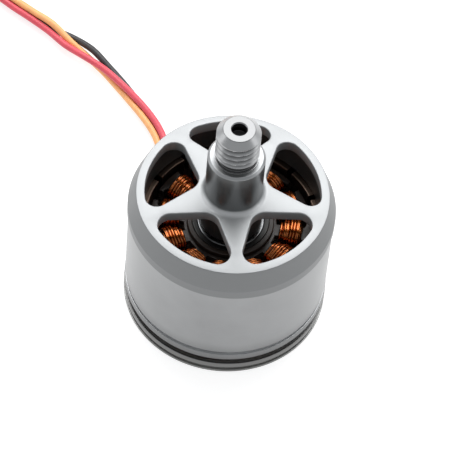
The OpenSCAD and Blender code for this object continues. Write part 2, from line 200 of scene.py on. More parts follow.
TAIL_ROUTE = [
    (-0.034, 0.0625, 0.0059), (-0.031, 0.0625, 0.0058), (-0.028, 0.0626, 0.005),
    (-0.025, 0.0628, 0.0035), (-0.022, 0.063, 0.0021), (-0.0196, 0.063, 0.0015),
    (-0.019, 0.063, 0.0015)]
# How each lead lies around the middle line, by route point: the angle in degrees (0 is left of
# the way they run, 90 is up) and the distance from the middle line
LEAD_ANGLE = {
    "yellow": [(0, 0), (3, 0), (6, 5), (7, 5), (8, -20), (10, -75), (11, -95), (12, -270),
               (13, -245), (14, -240)],
    "red": [(0, 90), (3, 90), (6, 125), (7, 125), (8, 100), (10, 55), (11, 25), (12, 10), (13, 0)],
    "black": [(0, 180), (3, 180), (6, 245), (7, 245), (8, 220), (10, 175), (11, 165), (12, 199),
              (13, 232), (14, 240)]}
LEAD_OFFSET = {
    "yellow": [(0, 0.0015), (1, LEAD_PITCH), (2, LEAD_PITCH), (5, 0.0008), (6, BUNDLE_R),
               (10, BUNDLE_R), (11, 0.0006), (12, 0.0001), (13, 0.00082), (14, BUNDLE_R)],
    "red": [(2, 0), (6, BUNDLE_R), (10, BUNDLE_R), (11, 0.00085), (12, 0.00107), (13, BUNDLE_R)],
    "black": [(0, 0.0015), (1, LEAD_PITCH), (2, LEAD_PITCH), (5, 0.0008), (6, BUNDLE_R),
              (9, BUNDLE_R), (10, 0.0007), (11, 0.00106), (12, 0.00112), (13, 0.00074),
              (14, BUNDLE_R)]}
COIL_ANGLE = {"yellow": 120, "red": 0, "black": 240}
TAIL_ANGLE = {"yellow": [(0, 120), (2, 90)], "red": [(0, 0)], "black": [(0, 240), (2, 180)]}
FAN_OUT = [(0, BUNDLE_R), (1, 0.0008), (2, 0.0013), (3, 0.0024), (4, 0.0032), (5, PLUG_PITCH)]
TAIL_OFFSET = {
    "yellow": [(0, BUNDLE_R), (1, 0.00055), (2, 0.0003), (3, 0)], "red": FAN_OUT, "black": FAN_OUT}

# Ends of the leads
SHRINK_R = 0.0014
SHRINK_L = 0.008
CUP_R = 0.0011
CUP_L = 0.003
PIN_R = 0.001
PIN_L = 0.006

# Camera: its lens in millimetres, its place, its right and the way its back faces
CAMERA_LENS = 243.8
CAMERA_PLACE = Vector((-0.000679, -0.23690, 0.35243))
CAMERA_RIGHT = Vector((0.99541, 0.07833, 0.05499))
CAMERA_BACK = Vector((0, -0.57455, 0.81847))

# Room and floor. The floor glows a little, which keeps it pale
ROOM_LIGHT = 0.55
ROOM_COLOUR = (0.96, 0.98, 1.0, 1)
FLOOR_GLOW = 0.76
FLOOR_COLOUR = (0.4, 0.4, 0.4)
FLOOR_Z = -0.0001
FLOOR_HALF = 1.5

# Softboxes: name, place, width and length, brightness. They aim at the motor's middle
SOFTBOX_AIM = Vector((0, 0, 0.012))
SOFTBOXES = [
    ("back_softbox", (0, 0.40, 0.55), (0.85, 0.6), 3.7),
    ("left_softbox", (-0.6, 0.05, 0.35), (0.4, 0.4), 1.2),
    ("right_softbox", (0.6, 0.05, 0.35), (0.4, 0.4), 1.2)]


# ---- camera ----

def add_camera():
    data = bpy.data.cameras.new("camera")
    data.sensor_width = 36
    data.lens = CAMERA_LENS
    data.clip_start = 0.01
    data.clip_end = 10
    camera = new_object("camera", data)
    axes = (CAMERA_RIGHT, CAMERA_BACK.cross(CAMERA_RIGHT), CAMERA_BACK, CAMERA_PLACE)
    camera.matrix_world = Matrix((*zip(*axes), (0, 0, 0, 1)))
    bpy.context.scene.camera = camera


# ---- materials ----

# Size of the finest grain in metal, and width of the marks of turning
GRAIN_SIZE = 0.00006
MARK_SIZE = 0.00014


class Paint:
    """A node material around one Principled shader."""

    def __init__(self, name, colour, metallic, roughness):
        self.material = bpy.data.materials.new(name)
        self.material.use_nodes = True
        self.tree = self.material.node_tree
        self.shader = self.tree.nodes["Principled BSDF"]
        self.colour = (*colour, 1)
        self.set(Base_Color=self.colour, Metallic=metallic, Roughness=roughness)
        self.roughness = roughness
        self.place = self.add("ShaderNodeTexCoord").outputs["Object"]

    def set(self, **inputs):
        """Sets sockets of the shader to one value all over."""
        for key, value in inputs.items():
            self.shader.inputs[key.replace("_", " ")].default_value = value

    def add(self, kind, **inputs):
        """A node with its inputs set or linked; a key such as in_0 names an input by number."""
        node = self.tree.nodes.new(kind)
        for key, value in inputs.items():
            socket = node.inputs[int(key[3:]) if key.startswith("in_") else key.replace("_", " ")]
            if isinstance(value, bpy.types.NodeSocket):
                self.tree.links.new(value, socket)
            else:
                socket.default_value = value
        return node

    def maths(self, operation, a, b):
        node = self.add("ShaderNodeMath", in_0=a, in_1=b)
        node.operation = operation
        return node.outputs[0]

    def noise(self, size, detail=3.0, place=None):
        """Noise whose blobs measure about size metres."""
        return self.add("ShaderNodeTexNoise", Vector=place or self.place, Scale=1 / size,
                        Detail=detail).outputs["Fac"]

    def stretched(self, size):
        """Noise drawn out by a different size along each axis."""
        scaled = self.add("ShaderNodeVectorMath", in_0=self.place, in_1=[1 / s for s in size])
        scaled.operation = "MULTIPLY"
        return self.add("ShaderNodeTexNoise", Vector=scaled.outputs[0], Scale=1.0,
                        Detail=3.0).outputs["Fac"]

    def turned(self, size):
        """Lines that run round the Z axis, as a lathe leaves them."""
        line = self.add("ShaderNodeCombineXYZ", X=self.radius(), Y=self.height())
        return self.noise(size, 2.0, line.outputs[0])

    def scaled(self, value, low_end, high_end):
        """Noise from 0.3 to 0.7 spread to low_end to high_end."""
        return self.ramp(value, 0.3, 0.7, low_end, high_end)

    def link(self, value, socket):
        self.tree.links.new(value, self.shader.inputs[socket])

    def ramp(self, value, start, end, low_end=0.0, high_end=1.0):
        """low_end before start, high_end after end and a straight line between."""
        return self.add("ShaderNodeMapRange", Value=value, From_Min=start, From_Max=end,
                        To_Min=low_end, To_Max=high_end).outputs["Result"]

    def height(self):
        return self.add("ShaderNodeSeparateXYZ", Vector=self.place).outputs["Z"]

    def radius(self):
        parts = self.add("ShaderNodeSeparateXYZ", Vector=self.place)
        flat = self.add("ShaderNodeCombineXYZ", X=parts.outputs["X"], Y=parts.outputs["Y"])
        length = self.add("ShaderNodeVectorMath", in_0=flat.outputs[0])
        length.operation = "LENGTH"
        return length.outputs["Value"]

    def band(self, value, start, end, soft=0.00004):
        """1 between start and end, and 0 outside them by more than soft."""
        return self.both(self.ramp(value, start - soft, start),
                         self.ramp(value, end, end + soft, 1.0, 0.0))

    def both(self, a, b):
        """The product, which for two masks is where both are 1."""
        return self.maths("MULTIPLY", a, b)

    def shade(self, mask, factor):
        """factor where the mask is 1, and 1 where it is 0."""
        return self.ramp(mask, 0, 1, 1.0, factor)

    def mottle(self, value, amount, *shades):
        """The colour gets darker and lighter by a share, and each shade multiplies it."""
        factor = self.scaled(value, 1 - amount, 1 + amount)
        for shade in shades:
            factor = self.both(factor, shade)
        scaled = self.add("ShaderNodeVectorMath", in_0=self.colour[:3])
        scaled.operation = "SCALE"
        self.tree.links.new(factor, scaled.inputs["Scale"])
        self.link(scaled.outputs[0], "Base Color")

    def roughen(self, value, amount, more=0.0):
        roughness = self.scaled(value, self.roughness - amount, self.roughness + amount)
        self.link(self.maths("ADD", roughness, more), "Roughness")

    def bump(self, value, depth):
        """Relief of about depth metres."""
        node = self.add("ShaderNodeBump", Height=value, Distance=depth, Strength=1.0)
        self.link(node.outputs[0], "Normal")

    def mixed(self, a, b, share):
        """a and b blended, with share of b."""
        first = self.maths("MULTIPLY", a, 1 - share)
        second = self.maths("MULTIPLY", b, share)
        return self.maths("ADD", first, second)


def machined(name, colour, roughness, lines=0.5, depth=0.000002, mottle=0.05, blotch=0.004,
             zones=None):
    """Metal with turning marks, a fine grain and faint blotches. lines is their share. zones
    gives the painted shade and painted light of some places and how much rougher they are."""
    paint = Paint(name, colour, 1.0, roughness)
    grain = paint.noise(GRAIN_SIZE, 2.0)
    marks = paint.mixed(grain, paint.turned(MARK_SIZE), lines)
    blotches = paint.noise(blotch)
    shades, rougher = zones(paint) if zones else ([], 0.0)
    paint.mottle(paint.mixed(blotches, marks, 0.35), mottle, *shades)
    paint.roughen(paint.mixed(blotches, marks, 0.5), 0.07, rougher)
    paint.bump(marks, depth)
    return paint.material


def bell_zones(paint):
    """The plate and its windows' walls are blasted and less metallic, the boss is turned and a
    little smoother. Painted light makes both lighter, with a painted highlight at the boss's
    top, painted shade down its side and painted shade in the cavity."""
    r, z = paint.radius(), paint.height()
    boss_z = TOP_Z + PLATE_RISE
    within = paint.ramp(r, TOP_R - 0.00005, TOP_R + 0.00001, 1.0, 0.0)
    plate = paint.both(within, paint.ramp(z, boss_z, boss_z + 0.0003, 1.0, 0.0))
    cavity_shade = paint.both(within, paint.ramp(z, PLATE_Z - 0.0004, PLATE_Z, 1.0, 0.0))
    boss = paint.ramp(z, boss_z, boss_z + 0.0003)
    side = paint.ramp(z, boss_z + 0.0004, boss_z + 0.0008)
    top = paint.ramp(z, HUB_TOP - 0.0024, HUB_TOP - 0.0004)
    paint.link(paint.shade(plate, 0.5), "Metallic")
    # Colour factors: painted light on the plate and the boss, a painted highlight at the boss's
    # top, painted shade down its side and in the cavity
    factors = ((plate, 1.82), (boss, 2.3), (side, 0.5), (top, 1.5), (cavity_shade, 0.15))
    return [paint.shade(*factor) for factor in factors], paint.ramp(boss, 0, 1, 0.0, -0.08)


def thread_zones(paint):
    """Painted shade in the thread's roots, on the neck and in the centre hole, and painted shade
    that dims the tip face.
    """
    r, z = paint.radius(), paint.height()
    # Painted shade: 0.38 in the roots and on the neck, 0.12 in the centre hole, 0.5 on the tip
    # face
    root_shade = paint.ramp(r, 0.00262, 0.00288, 0.38, 1.0)
    below_tip = paint.ramp(z, STUD_TOP - 0.0011, STUD_TOP - 0.0008, 1.0, 0.0)
    groove = paint.maths("ADD", paint.both(root_shade, below_tip),
                         paint.maths("SUBTRACT", 1.0, below_tip))
    hole = paint.ramp(r, TIP_HOLE_R - 0.00005, TIP_HOLE_R + 0.00005, 0.12, 1.0)
    face = paint.ramp(z, STUD_TOP - 0.0001, STUD_TOP - 0.00002, 1.0, 0.5)
    return [groove, hole, face], 0.0


def rim_zones(paint):
    """Painted shade towards the rotor's open end, and painted light that brightens the turned
    groove.
    """
    z = paint.height()
    rim_top = RING_Z + RIM_H
    groove = paint.band(z, rim_top, rim_top + GROOVE_H)
    # Painted shade down to 0.55 near the open end, and painted light of 2.5 in the groove
    return [paint.ramp(z, 0.003, 0.0065, 0.55, 1.0), paint.shade(groove, 2.5)], 0.0


def tube_zones(paint):
    """Painted shade on the bearing tube, and painted light that brightens the turned groove and
    the ledge under the ring.
    """
    z = paint.height()
    groove = paint.band(z, *BASE_GROOVE_Z)
    ledge = paint.both(paint.band(z, BASE_H - 0.00005, BASE_H + 0.00005),
                       paint.ramp(paint.radius(), BASE_R - 0.0003, BASE_R - 0.0001, 1.0, 0.0))
    # Painted shade of 0.2 on the tube, painted light of 2.4 in the groove and 3.8 on the ledge
    tube_shade = paint.ramp(z, BASE_H, BASE_H + 0.0006, 1.0, 0.2)
    return [tube_shade, paint.shade(groove, 2.4), paint.shade(ledge, 3.8)], 0.0


def moulded(name, colour, roughness, grain=0.0002, depth=0.000004, mottle=0.08, sheen=0.0):
    """Plastic or rubber with a fine moulded grain."""
    paint = Paint(name, colour, 0.0, roughness)
    speckle = paint.noise(grain, 2.0)
    cloud = paint.noise(0.003)
    paint.mottle(paint.mixed(cloud, speckle, 0.4), mottle)
    paint.roughen(cloud, 0.08)
    paint.bump(speckle, depth)
    paint.set(Sheen_Weight=sheen, Sheen_Roughness=0.4)
    return paint.material


def enamelled_copper():
    """Copper under a clear enamel that is a little darker here and there."""
    paint = Paint("enamelled_copper", (0.46, 0.15, 0.033), 1.0, 0.26)
    cloud = paint.noise(0.0012)
    streak = paint.noise(0.00025, 2.0)
    paint.mottle(paint.mixed(cloud, streak, 0.4), 0.3)
    paint.roughen(streak, 0.08)
    paint.bump(streak, 0.000003)
    paint.set(Coat_Weight=0.6, Coat_Roughness=0.12, Coat_Tint=(1.0, 0.72, 0.45, 1))
    return paint.material


def laminated_steel():
    """Edges of silicon steel sheets, darker and lighter from sheet to sheet."""
    paint = Paint("lamination_steel", (0.13, 0.105, 0.09), 1.0, 0.45)
    sheets = paint.stretched((0.003, 0.003, 0.00012))
    cloud = paint.noise(0.002)
    paint.mottle(paint.mixed(cloud, sheets, 0.6), 0.35)
    paint.roughen(sheets, 0.12)
    paint.bump(sheets, 0.000006)
    return paint.material


def silicone(name, colour):
    """Silicone insulation: a soft sheen, faint clouds and a fine grain."""
    paint = Paint(name, colour, 0.0, 0.42)
    cloud = paint.noise(0.0015)
    grain = paint.noise(0.00012, 2.0)
    paint.mottle(paint.mixed(cloud, grain, 0.3), 0.1)
    paint.roughen(cloud, 0.1)
    paint.bump(grain, 0.000003)
    paint.set(Sheen_Weight=0.15, Sheen_Roughness=0.35)
    return paint.material


METALS = {
    "bell_aluminium": dict(colour=(0.195, 0.2, 0.203), roughness=0.43, lines=0.3,
                           depth=0.0000014, zones=bell_zones),
    "stud_aluminium": dict(colour=(0.42, 0.425, 0.43), roughness=0.3, lines=0.6,
                           zones=thread_zones),
    "base_aluminium": dict(colour=(0.18, 0.18, 0.177), roughness=0.36, lines=0.5,
                           zones=tube_zones),
    "flux_steel": dict(colour=(0.29, 0.294, 0.298), roughness=0.34, lines=0.55,
                       depth=0.0000012, mottle=0.09, blotch=0.005, zones=rim_zones),
    "shaft_steel": dict(colour=(0.55, 0.55, 0.56), roughness=0.18, lines=0.8),
    "spring_steel": dict(colour=(0.13, 0.13, 0.14), roughness=0.32, lines=0.2),
    "bearing_steel": dict(colour=(0.24, 0.245, 0.25), roughness=0.28, lines=0.8),
    "ball_steel": dict(colour=(0.7, 0.7, 0.71), roughness=0.06, lines=0.1, depth=0.0000002),
    "cage_brass": dict(colour=(0.62, 0.42, 0.16), roughness=0.3, lines=0.2),
    "shield_steel": dict(colour=(0.5, 0.51, 0.53), roughness=0.28, lines=0.3),
    "spacer_brass": dict(colour=(0.68, 0.47, 0.18), roughness=0.22, lines=0.7),
    "gold_plate": dict(colour=(0.83, 0.56, 0.18), roughness=0.18, lines=0.6),
    "magnet_coat": dict(colour=(0.12, 0.085, 0.065), roughness=0.34, lines=0.1)}
SHRINK_LOOK = dict(roughness=0.35, grain=0.0004, depth=0.000012)
MOULDINGS = {
    "insulator_nylon": dict(colour=(0.018, 0.010, 0.006), roughness=0.45),
    "grommet_rubber": dict(colour=(0.02, 0.021, 0.023), roughness=0.6, sheen=0.1),
    "tie_nylon": dict(colour=(0.018, 0.018, 0.02), roughness=0.42),
    "yellow_shrink": dict(colour=(0.80, 0.50, 0.03), **SHRINK_LOOK),
    "red_shrink": dict(colour=(0.55, 0.02, 0.025), **SHRINK_LOOK),
    "black_shrink": dict(colour=(0.016, 0.016, 0.018), **SHRINK_LOOK)}
INSULATION_COLOURS = {
    "yellow_insulation": (0.88, 0.42, 0.16),
    "red_insulation": (0.66, 0.07, 0.10),
    "black_insulation": (0.02, 0.018, 0.02)}


def make_materials():
    made = {name: machined(name, **look) for name, look in METALS.items()}
    made.update({name: moulded(name, **look) for name, look in MOULDINGS.items()})
    made.update({name: silicone(name, colour) for name, colour in INSULATION_COLOURS.items()})
    made["lamination_steel"] = laminated_steel()
    made["enamelled_copper"] = enamelled_copper()
    return made


# ---- mesh helpers ----

def polar(r, angle):
    return Vector((r * math.cos(angle), r * math.sin(angle)))


def arc(centre, r, start, end, steps):
    """Points on a circle, both ends included."""
    return [Vector(centre) + polar(r, start + (end - start) * i / steps) for i in range(steps + 1)]


def rounded(corners, closed=True, steps=3):
    """A profile with its corners rounded. A corner is (r, z) or (r, z, radius)."""
    points = [Vector(c[:2]) for c in corners]
    radii = [c[2] if len(c) > 2 else 0 for c in corners]
    count = len(points)
    made = []
    for i, corner in enumerate(points):
        if radii[i] == 0 or (not closed and i in (0, count - 1)):
            made.append(corner)
            continue
        before = points[i - 1] - corner
        after = points[(i + 1) % count] - corner
        turn = before.angle(after)
        # The round starts where both lines are this far from the corner
        reach = min(radii[i] / math.tan(turn / 2), before.length * 0.45, after.length * 0.45)
        first = corner + before.normalized() * reach
        last = corner + after.normalized() * reach
        guard = 0.25 * reach
        made.append(first + before.normalized() * min(guard, before.length * 0.04))
        for k in range(steps + 1):
            t = k / steps
            made.append(first * (1 - t) ** 2 + corner * 2 * t * (1 - t) + last * t ** 2)
        made.append(last + after.normalized() * min(guard, after.length * 0.04))
    return made


def rectangle(x0, y0, x1, y1, *radius):
    """Corners of a rectangle, anticlockwise, each with the radius if one is given."""
    return [(x0, y0, *radius), (x1, y0, *radius), (x1, y1, *radius), (x0, y1, *radius)]


def loop(bm, points):
    return [bm.verts.new(p) for p in points]


def skin(bm, first, second, closed=True):
    """Faces between two rows of points."""
    count = len(first)
    for i in range(count if closed else count - 1):
        j = (i + 1) % count
        bm.faces.new((first[i], first[j], second[j], second[i]))


def skin_rows(bm, rows):
    for first, second in zip(rows, rows[1:]):
        skin(bm, first, second)


def lathe(bm, profile, steps=128, start=0.0, sweep=TAU, closed=True):
    """Turns a profile of (r, z) round the Z axis, and returns its rings."""
    whole = abs(sweep - TAU) < 1e-9
    count = steps if whole else steps + 1
    rings = []
    for r, z in profile:
        rings.append(loop(bm, [(*polar(r, start + sweep * k / steps), z) for k in range(count)]))
    for i in range(len(rings) if closed else len(rings) - 1):
        skin(bm, rings[i], rings[(i + 1) % len(rings)], whole)
    if not whole and closed:
        bm.faces.new([ring[0] for ring in rings])
        bm.faces.new([ring[-1] for ring in reversed(rings)])
    return rings


def inset(outline, distance):
    """Moves a closed outline to its left, which is into the material."""
    count = len(outline)
    made = []
    for i, point in enumerate(outline):
        before = (point - outline[i - 1]).normalized()
        after = (outline[(i + 1) % count] - point).normalized()
        along = (before + after).normalized()
        left = Vector((-along.y, along.x))
        made.append(point + left * distance / max(0.3, along.dot(before)))
    return made


def area(outline):
    return sum(a.cross(b) for a, b in zip(outline, outline[1:] + outline[:1])) / 2


def anticlockwise(outline):
    return outline if area(outline) > 0 else outline[::-1]


def clockwise(outline):
    return outline if area(outline) < 0 else outline[::-1]


def stacked(bm, outline, rows):
    """Skins a closed outline along rows of (inset, height), and returns its loops."""
    loops = [loop(bm, [(p.x, p.y, z) for p in inset(outline, d)]) for d, z in rows]
    skin_rows(bm, loops)
    return loops


def wall(bm, outline, z_low, z_high, edge_low, edge_high, steps=3):
    """The side of a plate along an outline with its material on the left, with rounded rims.
    Returns the lowest and the highest row of points."""
    rows = []
    for k in range(steps + 1):
        t = math.pi / 2 * k / steps
        rows.append((edge_low * (1 - math.sin(t)), z_low + edge_low * (1 - math.cos(t))))
    for k in range(steps, -1, -1):
        t = math.pi / 2 * k / steps
        rows.append((edge_high * (1 - math.sin(t)), z_high - edge_high * (1 - math.cos(t))))
    loops = stacked(bm, outline, rows)
    return loops[0], loops[-1]


def fill(bm, rows):
    """A flat face that the rows bound, with the inner ones as holes."""
    edges = []
    for row in rows:
        for a, b in zip(row, row[1:] + row[:1]):
            edges.append(bm.edges.get((a, b)) or bm.edges.new((a, b)))
    made = bmesh.ops.triangle_fill(bm, use_beauty=True, use_dissolve=False, edges=edges)
    for item in made["geom"]:
        if isinstance(item, bmesh.types.BMFace):
            item.smooth = False
            item.tag = True


def plate(bm, outer, holes, z_low, z_high, edge):
    """A plate with rounded rims and holes."""
    walls = [wall(bm, anticlockwise(outer), z_low, z_high, edge, edge)]
    walls += [wall(bm, clockwise(hole), z_low, z_high, edge, edge) for hole in holes]
    fill(bm, [w[0] for w in walls])
    fill(bm, [w[1] for w in walls])


def tube(bm, path, r, sides):
    """A round wire along a path of points, with its ends closed."""
    rows = []
    side = Vector((0.31, 0.17, 0.93))
    for before, point, after in zip(path[:1] + path[:-1], path, path[1:] + path[-1:]):
        along = (after - before).normalized()
        side = (side - along * side.dot(along)).normalized()
        up = along.cross(side)
        rows.append(loop(bm, [point + r * (math.cos(TAU * k / sides) * side
                                           + math.sin(TAU * k / sides) * up)
                              for k in range(sides)]))
    skin_rows(bm, rows)
    bm.faces.new(rows[0][::-1])
    bm.faces.new(rows[-1])


def smooth_path(points, steps):
    """A curve through all the points, with steps between neighbours."""
    made = []
    for i in range(len(points) - 1):
        a = points[max(i - 1, 0)]
        b, c = points[i], points[i + 1]
        d = points[min(i + 2, len(points) - 1)]
        for k in range(steps):
            t = k / steps
            made.append(0.5 * (2 * b + (c - a) * t + (2 * a - 5 * b + 4 * c - d) * t ** 2
                               + (3 * b - a - 3 * c + d) * t ** 3))
    made.append(points[-1])
    return made


def moved(bm, matrix):
    bmesh.ops.transform(bm, matrix=matrix, verts=bm.verts)


def clean(bm):
    bmesh.ops.remove_doubles(bm, verts=bm.verts, dist=MERGE_DISTANCE)
    bmesh.ops.recalc_face_normals(bm, faces=bm.faces)


def piece(name, bm, slot, body, *nodes, sharp=38):
    """Makes the mesh into a piece that rides on a body and stands for the CAD nodes. Its edges
    sharper than so many degrees stay sharp."""
    flat = {f for f in bm.faces if f.tag}
    clean(bm)
    for face in bm.faces:
        face.smooth = face not in flat
    made = mesh_object(name, bm)
    made.data.set_sharp_from_angle(angle=math.radians(sharp))
    made.data.materials.append(MATERIALS[slot])
    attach(made, body)
    if nodes:
        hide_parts(*nodes)
    return made


def turned_piece(name, corners, slot, body, node, steps=128):
    bm = bmesh.new()
    lathe(bm, rounded(corners), steps)
    piece(name, bm, slot, body, node)


# ---- leads ----

def keyed(keys, i):
    """The value at route point i, between keys (point, value) in straight lines."""
    if i <= keys[0][0]:
        return keys[0][1]
    for (i0, v0), (i1, v1) in zip(keys, keys[1:]):
        if i <= i1:
            return v0 + (v1 - v0) * (i - i0) / (i1 - i0)
    return keys[-1][1]


def beside(point, heading, angle, distance):
    """A point at an angle round a middle line: 0 is left, 90 is up."""
    left = Vector((-heading.y, heading.x, 0)).normalized()
    turn = math.radians(angle)
    return point + distance * math.cos(turn) * left + Vector((0, 0, distance * math.sin(turn)))


def beside_route(route, angles, offsets):
    points = [Vector(p) for p in route]
    last = len(points) - 1
    return [beside(p, points[min(i + 1, last)] - points[max(i - 1, 0)],
                   keyed(angles, i), keyed(offsets, i)) for i, p in enumerate(points)]


def coil_height(turn):
    """Height of the middle line after so many turns: level, then up over a fifth of a turn."""
    layer = min(int(turn), 2)
    rise = max(0.0, (turn - layer - 0.8) / 0.2) if layer < 2 else 0.0
    return LAYER_Z[layer] + LAYER_H * rise * rise * (3 - 2 * rise)


def coil_line(colour):
    """Two and a quarter clockwise turns, from the coil's left side to its far side."""
    made = []
    for k in range(int(COIL_TURNS * COIL_POINTS_PER_TURN)):
        turn = k / COIL_POINTS_PER_TURN
        a = math.pi - TAU * turn
        point = COIL_C + Vector((*polar(COIL_R, a), coil_height(turn)))
        heading = Vector((math.sin(a), -math.cos(a), 0))
        made.append(beside(point, heading, COIL_ANGLE[colour], BUNDLE_R))
    return made


def lead_points(colour):
    first = beside_route(LEAD_ROUTE, LEAD_ANGLE[colour], LEAD_OFFSET[colour])
    last = beside_route(TAIL_ROUTE, TAIL_ANGLE[colour], TAIL_OFFSET[colour])
    return first + coil_line(colour) + last


def add_lead(colour, *nodes):
    """An insulated lead from its joint under the stator to its bullet plug."""
    path = smooth_path(lead_points(colour), 4)
    data = bpy.data.curves.new(f"{colour}_lead_wire", "CURVE")
    data.dimensions = "3D"
    data.bevel_depth = LEAD_R
    data.bevel_resolution = 4
    data.use_fill_caps = True
    spline = data.splines.new("POLY")
    spline.points.add(len(path) - 1)
    for point, place in zip(spline.points, path):
        point.co = (*place, 1)
    data.materials.append(MATERIALS[f"{colour}_insulation"])
    made = new_object(f"{colour}_lead_wire", data)
    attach(made, "stator")
    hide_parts(*nodes)
    return made, path


def end_matrix(path):
    """Places a piece made along +Z at the end of a lead, along +X."""
    return Matrix.Translation(path[-1]) @ Matrix.Rotation(math.pi / 2, 4, "Y")


def outward(vert):
    """The way from the Z axis to a vertex."""
    return Vector((vert.co.x, vert.co.y, 0))


def add_shrink(colour, path):
    """Heat-shrink sleeve: tight on the lead, full over the plug's cup, a little wavy."""
    sides = 48
    bm = bmesh.new()
    rows = lathe(bm, rounded([
        (LEAD_R, 0), (LEAD_R + 0.00018, 0, 0.00008), (LEAD_R + 0.0002, 0.0006, 0.0006),
        (SHRINK_R - 0.00008, 0.0022, 0.0009), (SHRINK_R, 0.0048, 0.001),
        (SHRINK_R - 0.0001, SHRINK_L, 0.0001), (CUP_R, SHRINK_L),
        (CUP_R, SHRINK_L - CUP_L), (LEAD_R, SHRINK_L - CUP_L)], steps=5), sides)
    # Waves run round and along the full part, half_wave high to each side
    half_wave = 0.000025
    for row in rows:
        for k, vert in enumerate(row):
            out = outward(vert)
            if out.length > CUP_R + 0.00005:
                wave = math.sin(vert.co.z * 2600 + 2 * k * TAU / sides) * math.sin(vert.co.z * 900)
                vert.co -= out.normalized() * half_wave * (1 + wave)
    moved(bm, end_matrix(path))
    return piece(f"{colour}_shrink_sleeve", bm, f"{colour}_shrink", "stator",
                 f"{colour}_heat_shrink")


def add_bullet(colour, path):
    """Gold bullet plug: a cup and collar, a core, and four sprung leaves round it."""
    leaves = 4
    leaf_arc = math.radians(76)
    leaf_t = 0.00012
    core_r, neck_r, root_r = 0.0005, 0.00072, 0.0007
    flange_r = CUP_R + 0.0001
    collar_z = SHRINK_L
    tip_z = collar_z + PIN_L
    bm = bmesh.new()
    lathe(bm, rounded([
        (0, collar_z - CUP_L), (CUP_R, collar_z - CUP_L, 0.00005), (CUP_R, collar_z),
        (flange_r, collar_z, 0.00004), (flange_r, collar_z + 0.0007, 0.0001),
        (root_r, collar_z + 0.0009, 0.00005), (core_r, collar_z + 0.0011),
        (core_r, tip_z - 0.0007), (neck_r, tip_z - 0.0006, 0.00005),
        (neck_r, tip_z - 0.0003, 0.00015), (0.0003, tip_z, 0.0001), (0, tip_z)]), 48)
    leaf = [(root_r, collar_z + 0.001), (PIN_R - 0.0001, collar_z + 0.0018, 0.0006),
            (PIN_R, collar_z + 0.003, 0.001), (PIN_R - 0.0001, collar_z + 0.0042, 0.0006),
            (root_r, tip_z - 0.0007)]
    leaf += [(r - leaf_t, *rest) for r, *rest in reversed(leaf)]
    for k in range(leaves):
        lathe(bm, rounded(leaf), 10, TAU * k / leaves, leaf_arc)
    moved(bm, end_matrix(path))
    return piece(f"{colour}_bullet", bm, "gold_plate", "stator", f"{colour}_bullet_plug")


def add_tie():
    """Cable tie round the coil: a band with a small head on the outer side."""
    bottom, top = low("lead_tie").z, high("lead_tie").z
    band_t = 0.0003
    x, z = TIE_HALF_W, (top - bottom) / 2
    in_x, in_z = x - band_t, z - band_t
    bm = bmesh.new()
    outer = rounded(rectangle(-x, -z, x, z, 0.0004), steps=5)
    inner = rounded(rectangle(-in_x, -in_z, in_x, in_z, 0.00025), steps=5)
    plate(bm, outer, [inner], -0.0008, 0.0008, 0.00008)
    head = rounded([(x - 0.00012, -0.001, 0.0002), (x + 0.0009, -0.001, 0.0003),
                    (x + 0.0009, 0.001, 0.0003), (x - 0.00012, 0.001, 0.0002)], steps=4)
    slot = rounded(rectangle(x + 0.0002, -0.0006, x + 0.0005, 0.0006))
    plate(bm, head, [slot], -0.0012, 0.0012, 0.00015)
    # Drawn in (radial, vertical), so it is stood up and turned round the coil
    stand = Matrix.Rotation(TIE_ANGLE, 4, "Z") @ Matrix.Translation((COIL_R, 0, 0)) \
        @ Matrix.Rotation(math.pi / 2, 4, "X")
    moved(bm, Matrix.Translation(COIL_C + Vector((0, 0, (bottom + top) / 2))) @ stand)
    return piece("coil_tie", bm, "tie_nylon", "stator", "lead_tie")


def add_leads():
    tie = add_tie()
    for colour in COLOURS:
        nodes = [f"{colour}_lead", f"{colour}_lead_tail"]
        if colour == "red":
            nodes.append("lead_coil")
        lead, path = add_lead(colour, *nodes)
        ends = [add_shrink(colour, path), add_bullet(colour, path)]


# ---- rotor ----

def window_outline(k):
    """Window number k: a rounded apex by the hub, two straight edges and an outer arc."""
    half_pitch = math.pi / SPOKE_COUNT
    taper = (SPOKE_HALF_W[0] - SPOKE_HALF_W[1]) / (SPOKE_X[1] - SPOKE_X[0])
    edge = half_pitch + math.atan(taper)
    axis_half_w = SPOKE_HALF_W[0] + taper * SPOKE_X[0]
    apex_x = axis_half_w / (math.sin(half_pitch) + taper * math.cos(half_pitch))
    apex_c = (apex_x + APEX_ROUND / math.sin(edge), 0)
    along = apex_x * math.sin(edge) + CORNER_ROUND
    corner = edge - math.asin(along / (WINDOW_R - CORNER_ROUND))
    corner_c = polar(WINDOW_R - CORNER_ROUND, corner)
    half = math.pi / 2
    side = arc(corner_c, CORNER_ROUND, half + edge, corner, 10)
    outline = arc(apex_c, APEX_ROUND, 3 * half - edge, half + edge, 16) + side[:-1]
    outline += arc((0, 0), WINDOW_R, corner, -corner, 36)
    outline += [Vector((p.x, -p.y)) for p in reversed(side[:-1])]
    turn = Matrix.Rotation(SPOKE_ANGLE + half_pitch * (2 * k + 1), 2)
    return clockwise([turn @ p for p in outline])


def lift(r, edge_r):
    """How far the plate has risen at r, on its way in from edge_r."""
    return PLATE_RISE * min(1.0, max(0.0, (edge_r - r) / (edge_r - LEVEL_R)))


def divided(outline, step):
    """A closed outline with more points where its neighbours lie further apart than step."""
    made = []
    for a, b in zip(outline, outline[1:] + outline[:1]):
        parts = max(1, math.ceil((b - a).length / step))
        made += [a + (b - a) * k / parts for k in range(parts)]
    return made


